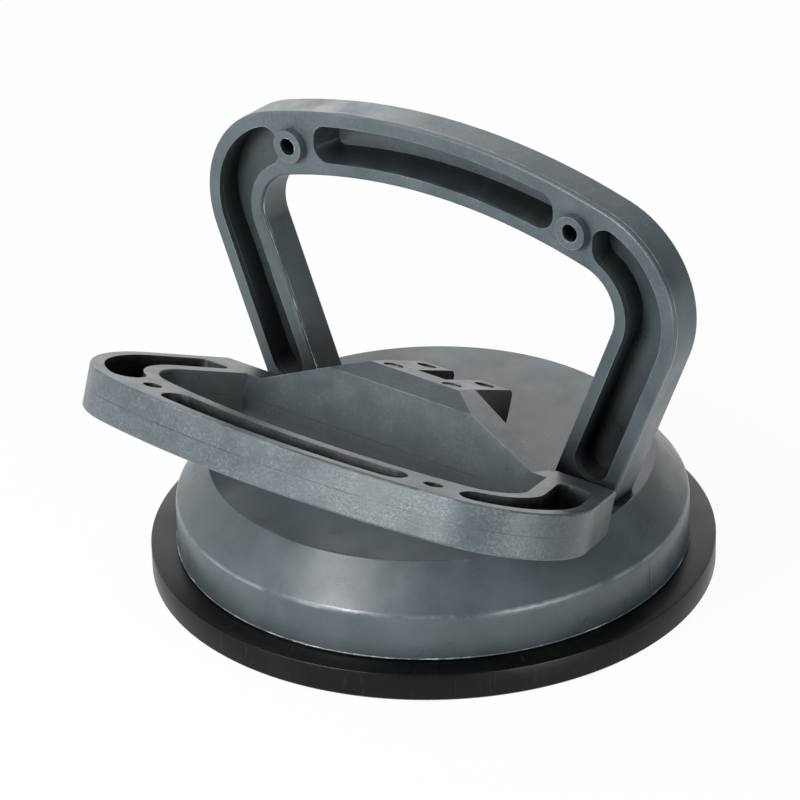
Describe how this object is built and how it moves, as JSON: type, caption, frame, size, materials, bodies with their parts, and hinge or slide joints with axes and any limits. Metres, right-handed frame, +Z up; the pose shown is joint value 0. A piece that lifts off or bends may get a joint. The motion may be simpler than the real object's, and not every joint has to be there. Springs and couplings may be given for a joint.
{
  "type": "hand suction lifter",
  "caption": "Hand suction lifter with a black rubber pad, a grey moulded dish, a fixed arched handle and a folding cam lever handle that draws the vacuum.",
  "frame": {"origin": "centre of the rubber pad's flat underside, on the surface that the lifter stands on", "axes": "+Z up through the post; X along the two handles and the pin; the lever folds out towards -Y"},
  "size_m": [0.1184, 0.1183, 0.0955],
  "materials": {
    "pad_rubber": "black moulded rubber, slightly glossy on the top of the rim",
    "insert_steel": "plain pressed steel",
    "pin_steel": "turned steel, zinc plated",
    "clip_steel": "spring steel, phosphated",
    "body_plastic": "semi-matte moulded plastic, blue grey",
    "lever_plastic": "semi-matte moulded plastic, blue grey"
  },
  "bodies": {
    "base": {"body_moulding": "body_plastic", "rubber_pad": "pad_rubber"},
    "stem": {"eye_post": "pin_steel", "insert_disc": "insert_steel", "insert_hub": "insert_steel", "axle_pin": "pin_steel", "axle_clips": "clip_steel"},
    "lever": {"lever": "lever_plastic"}
  },
  "joints": [
    {"name": "stem_lift", "type": "slide", "parent": "base", "child": "stem", "axis": [0, 0, 1], "range_m": [0, 0.004], "deforming": ["rubber_pad"]},
    {"name": "lever_close", "type": "hinge", "parent": "stem", "child": "lever", "pos_m": [0, 0, 0.03175], "axis": [-1, 0, 0], "range_deg": [0, 69.5]}
  ],
  "couplings": [
    {"joint": "stem_lift", "follows": "lever_close", "m_per_rad": 0.0032975}
  ]
}
